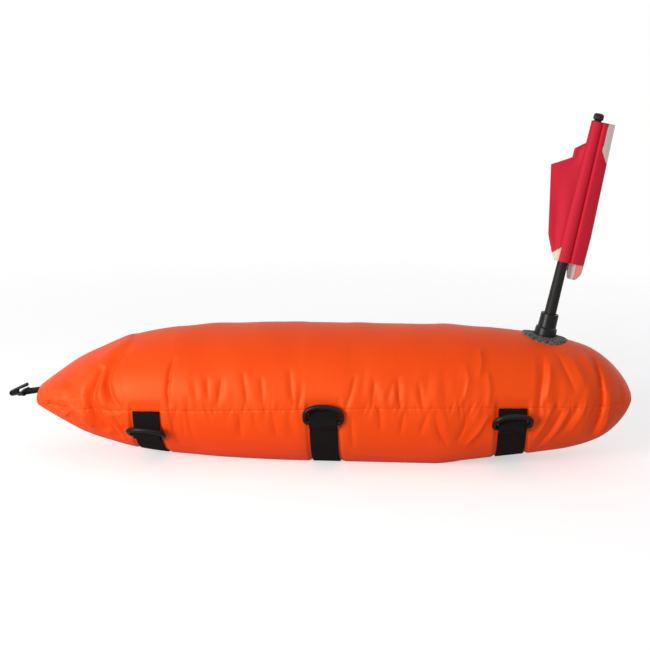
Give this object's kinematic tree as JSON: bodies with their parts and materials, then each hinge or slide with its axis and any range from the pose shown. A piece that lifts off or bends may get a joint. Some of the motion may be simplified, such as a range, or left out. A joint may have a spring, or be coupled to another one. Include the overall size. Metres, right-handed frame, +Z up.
{
  "type": "dive float buoy",
  "caption": "Inflatable torpedo-shaped diver's float in orange nylon, with webbing straps, D-rings, a tow hook and a furled flag on a leaning pole.",
  "frame": {"origin": "middle of the belly's resting flat, on the ground under the widest part of the hull", "axes": "+X along the hull towards the flag end, -X towards the tow hook, -Y the near side in the picture, +Z up"},
  "size_m": [0.8718, 0.2112, 0.4797],
  "materials": {
    "nylon": "satin",
    "bladder": "satin",
    "webbing": "matte",
    "black_plastic": "satin",
    "grey_rubber": "matte",
    "pole": "satin",
    "flag_cloth": "matte",
    "zip_tape": "matte"
  },
  "bodies": {
    "float": {"cover_top": "nylon", "cover_bottom": "nylon", "bladder": "bladder", "strap_bow": "webbing", "strap_mid": "webbing", "strap_stern": "webbing", "tow_loop": "webbing", "pole_socket": "black_plastic", "socket_nut": "black_plastic", "base_patch": "grey_rubber", "pole": "pole", "pole_cap": "black_plastic", "flag": "flag_cloth", "valve_body": "black_plastic", "valve_plug": "black_plastic", "zip_tape": "zip_tape", "zip_chain": "black_plastic"},
    "ring_bow_near": {"d_ring_bow_near": "black_plastic"},
    "ring_bow_far": {"d_ring_bow_far": "black_plastic"},
    "ring_mid_near": {"d_ring_mid_near": "black_plastic"},
    "ring_mid_far": {"d_ring_mid_far": "black_plastic"},
    "ring_stern_near": {"d_ring_stern_near": "black_plastic"},
    "ring_stern_far": {"d_ring_stern_far": "black_plastic"},
    "hook": {"tow_hook": "black_plastic"},
    "slider": {"zip_slider": "black_plastic"},
    "puller": {"zip_puller": "black_plastic"}
  },
  "joints": [
    {"name": "ring_bow_near_hinge", "type": "hinge", "parent": "float", "child": "ring_bow_near", "pos_m": [-0.25, -0.07885, 0.0467], "axis": [0.9948, -0.0923, -0.0441], "range_deg": [-20, 135]},
    {"name": "ring_bow_far_hinge", "type": "hinge", "parent": "float", "child": "ring_bow_far", "pos_m": [-0.25, 0.07885, 0.0467], "axis": [-0.9948, -0.0923, 0.0441], "range_deg": [-20, 135]},
    {"name": "ring_mid_near_hinge", "type": "hinge", "parent": "float", "child": "ring_mid_near", "pos_m": [-0.008, -0.09818, 0.07531], "axis": [1, 0, 0], "range_deg": [0, 165]},
    {"name": "ring_mid_far_hinge", "type": "hinge", "parent": "float", "child": "ring_mid_far", "pos_m": [-0.008, 0.09818, 0.07531], "axis": [-1, 0, 0], "range_deg": [0, 165]},
    {"name": "ring_stern_near_hinge", "type": "hinge", "parent": "float", "child": "ring_stern_near", "pos_m": [0.243, -0.08696, 0.07182], "axis": [0.9928, 0.1096, 0.0487], "range_deg": [-15, 145]},
    {"name": "ring_stern_far_hinge", "type": "hinge", "parent": "float", "child": "ring_stern_far", "pos_m": [0.243, 0.08696, 0.07182], "axis": [-0.9928, 0.1096, -0.0487], "range_deg": [-15, 145]},
    {"name": "hook_hinge", "type": "hinge", "parent": "float", "child": "hook", "pos_m": [-0.44021, 0, 0.08345], "axis": [0, 1, 0], "range_deg": [-70, 28]},
    {"name": "zip_run", "type": "slide", "parent": "float", "child": "slider", "axis": [1, 0, 0], "range_m": [0, 0.16]},
    {"name": "puller_hinge", "type": "hinge", "parent": "slider", "child": "puller", "pos_m": [-0.0425, 0.06486, 0.17049], "axis": [0, -0.766, 0.6428], "range_deg": [0, 165]}
  ]
}
